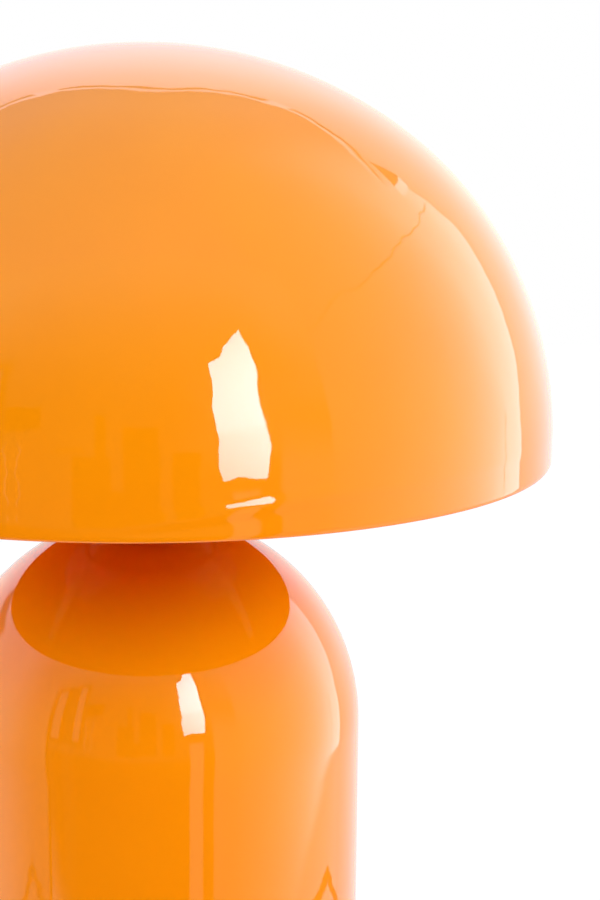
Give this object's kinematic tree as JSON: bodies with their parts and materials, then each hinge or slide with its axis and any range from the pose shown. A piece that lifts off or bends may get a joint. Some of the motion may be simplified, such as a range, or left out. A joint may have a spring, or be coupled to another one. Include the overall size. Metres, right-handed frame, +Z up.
{
  "type": "table lamp",
  "caption": "Mushroom table lamp: glossy orange spun-metal dome shade that lifts off its seat, over a bullet base with a screw-in filament bulb.",
  "frame": {"origin": "centre of the felt face that rests on the table", "axes": "+Z up along the lamp's axis, +Y to the back where the cord inlet is, +X to the right seen from the front"},
  "size_m": [0.3599, 0.36, 0.48],
  "materials": {
    "orange_lacquer": "glossy orange enamel over spun steel",
    "black_bakelite": "polished black moulding",
    "porcelain": "white porcelain",
    "brass": "stamped brass",
    "zinc_steel": "zinc plated steel",
    "cast_iron": "rough grey casting",
    "bottom_steel": "black painted steel sheet",
    "felt": "black wool felt",
    "inlet_plastic": "black nylon",
    "block_plastic": "ivory polyamide",
    "brown_insulation": "brown wire insulation",
    "blue_insulation": "blue wire insulation",
    "green_insulation": "green and yellow wire insulation",
    "bulb_glass": "clear glass",
    "stem_glass": "clear pressed glass",
    "filament": "yellow phosphor coating",
    "bulb_wire": "nickel wire",
    "bulb_metal": "nickel plated thread cap",
    "bulb_black_glass": "black glass insulator"
  },
  "bodies": {
    "base": {"base_shell": "orange_lacquer", "shade_seat": "orange_lacquer", "shade_ring": "black_bakelite", "holder_cap": "black_bakelite", "holder_sleeve": "black_bakelite", "holder_insert": "porcelain", "screw_shell": "brass", "centre_contact": "brass", "contact_screws": "zinc_steel", "saddle_washer": "black_bakelite", "nipple": "zinc_steel", "inner_washer": "zinc_steel", "earth_tag": "brass", "inner_nut": "zinc_steel", "base_weight": "cast_iron", "weight_bolt": "zinc_steel", "weight_washer": "zinc_steel", "weight_nut": "zinc_steel", "bottom_plate": "bottom_steel", "plate_screws": "zinc_steel", "weld_nuts": "zinc_steel", "felt_pad": "felt", "cord_bushing": "inlet_plastic", "bushing_nut": "inlet_plastic", "terminal_block": "block_plastic", "terminal_sleeves": "brass", "terminal_screws": "zinc_steel", "block_screws": "zinc_steel", "live_wire": "brown_insulation", "neutral_wire": "blue_insulation", "earth_wire": "green_insulation"},
    "shade": {"shade_dome": "orange_lacquer", "shade_spider": "orange_lacquer"},
    "bulb_tip": {"bulb_contact": "bulb_metal"},
    "bulb": {"bulb_glass": "bulb_glass", "bulb_stem": "stem_glass", "bulb_filaments": "filament", "bulb_supports": "bulb_wire", "bulb_cap": "bulb_metal", "bulb_insulator": "bulb_black_glass"}
  },
  "joints": [
    {"name": "shade_lift", "type": "slide", "parent": "base", "child": "shade", "axis": [0, 0, 1], "range_m": [0, 0.2]},
    {"name": "bulb_rise", "type": "slide", "parent": "base", "child": "bulb_tip", "axis": [0, 0, 1], "range_m": [0, 0.0218]},
    {"name": "bulb_turn", "type": "hinge", "parent": "bulb_tip", "child": "bulb", "pos_m": [0, 0, 0.3], "axis": [0, 0, 1], "range_deg": [0, 2160]}
  ],
  "couplings": [
    {"joint": "bulb_rise", "follows": "bulb_turn", "m_per_rad": 0.00057614}
  ]
}
